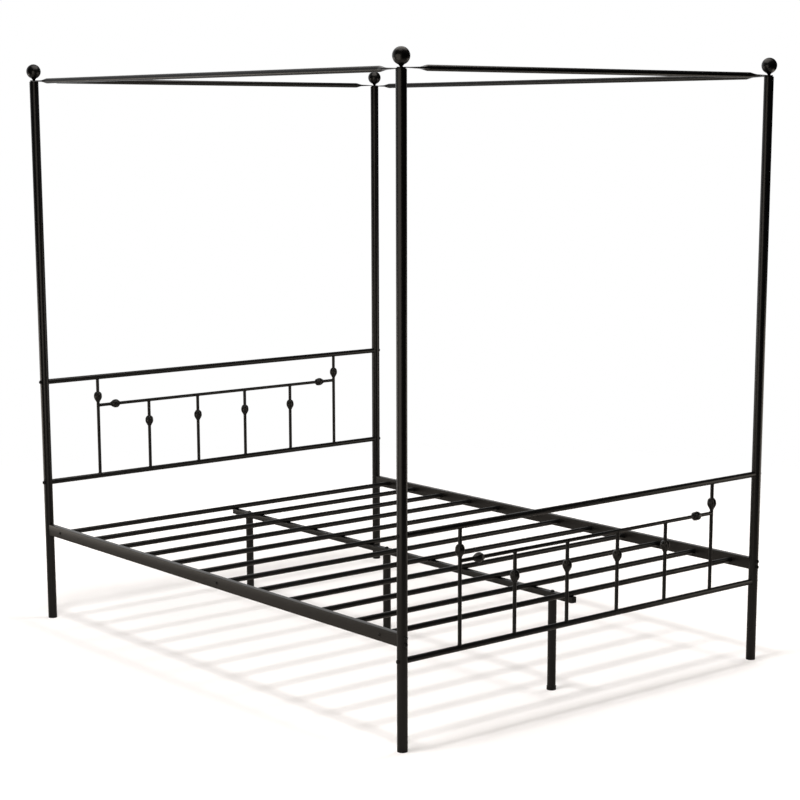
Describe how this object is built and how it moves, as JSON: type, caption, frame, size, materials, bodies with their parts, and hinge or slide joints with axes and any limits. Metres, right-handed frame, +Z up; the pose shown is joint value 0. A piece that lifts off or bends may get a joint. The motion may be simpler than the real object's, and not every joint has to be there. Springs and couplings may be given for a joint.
{
  "type": "four poster canopy bed",
  "caption": "Four poster canopy bed in black tube steel: spindle headboard and footboard with cast knuckles, tube slats, centre legs, canopy rods, ball finials.",
  "frame": {"origin": "on the floor, under the middle of the bed", "axes": "+X towards the bed's right side seen from the foot, +Y towards the headboard, +Z up"},
  "size_m": [1.611, 2.111, 2.031],
  "materials": {
    "frame_coat": "satin black powder coat on steel tube",
    "rail_coat": "satin brown-black powder coat on steel box section",
    "cast_coat": "satin black powder coat on castings",
    "ball_gloss": "gloss black moulding",
    "foot_plastic": "matt black moulding",
    "zinc_steel": "bright zinc plate",
    "black_fastener": "semi-gloss black oxide"
  },
  "bodies": {
    "root": {"post_head_left": "frame_coat", "post_head_right": "frame_coat", "post_foot_left": "frame_coat", "post_foot_right": "frame_coat", "post_glides": "foot_plastic", "post_inserts": "black_fastener", "finial_head_left": "ball_gloss", "finial_head_right": "ball_gloss", "finial_foot_left": "ball_gloss", "finial_foot_right": "ball_gloss", "finial_studs": "zinc_steel", "canopy_rod_left": "frame_coat", "canopy_rod_right": "frame_coat", "canopy_rod_head": "frame_coat", "canopy_rod_foot": "frame_coat", "headboard_top_rail": "frame_coat", "headboard_bottom_rail": "frame_coat", "headboard_cross_rod": "frame_coat", "headboard_outer_spindle_left": "frame_coat", "headboard_outer_spindle_right": "frame_coat", "headboard_inner_spindles": "frame_coat", "headboard_knuckles": "cast_coat", "footboard_top_rail": "frame_coat", "footboard_bottom_rail": "frame_coat", "footboard_cross_rod": "frame_coat", "footboard_outer_spindle_left": "frame_coat", "footboard_outer_spindle_right": "frame_coat", "footboard_inner_spindles": "frame_coat", "footboard_knuckles": "cast_coat", "side_rail_left": "rail_coat", "side_rail_right": "rail_coat", "slat_01": "frame_coat", "slat_02": "frame_coat", "slat_03": "frame_coat", "slat_04": "frame_coat", "slat_05": "frame_coat", "slat_06": "frame_coat", "slat_07": "frame_coat", "slat_08": "frame_coat", "slat_09": "frame_coat", "slat_10": "frame_coat", "slat_11": "frame_coat", "slat_12": "frame_coat", "centre_beam": "frame_coat", "beam_end_caps": "foot_plastic", "centre_leg_head": "frame_coat", "centre_leg_middle": "frame_coat", "centre_leg_foot": "frame_coat", "leg_caps": "foot_plastic", "leg_inserts": "zinc_steel", "leg_bolts": "black_fastener", "panel_rail_inserts": "zinc_steel", "side_rail_blocks": "zinc_steel", "panel_bolts": "black_fastener", "side_rail_bolts": "black_fastener", "slat_plugs": "foot_plastic", "slat_screws": "black_fastener", "beam_screws": "black_fastener"}
  },
  "joints": []
}
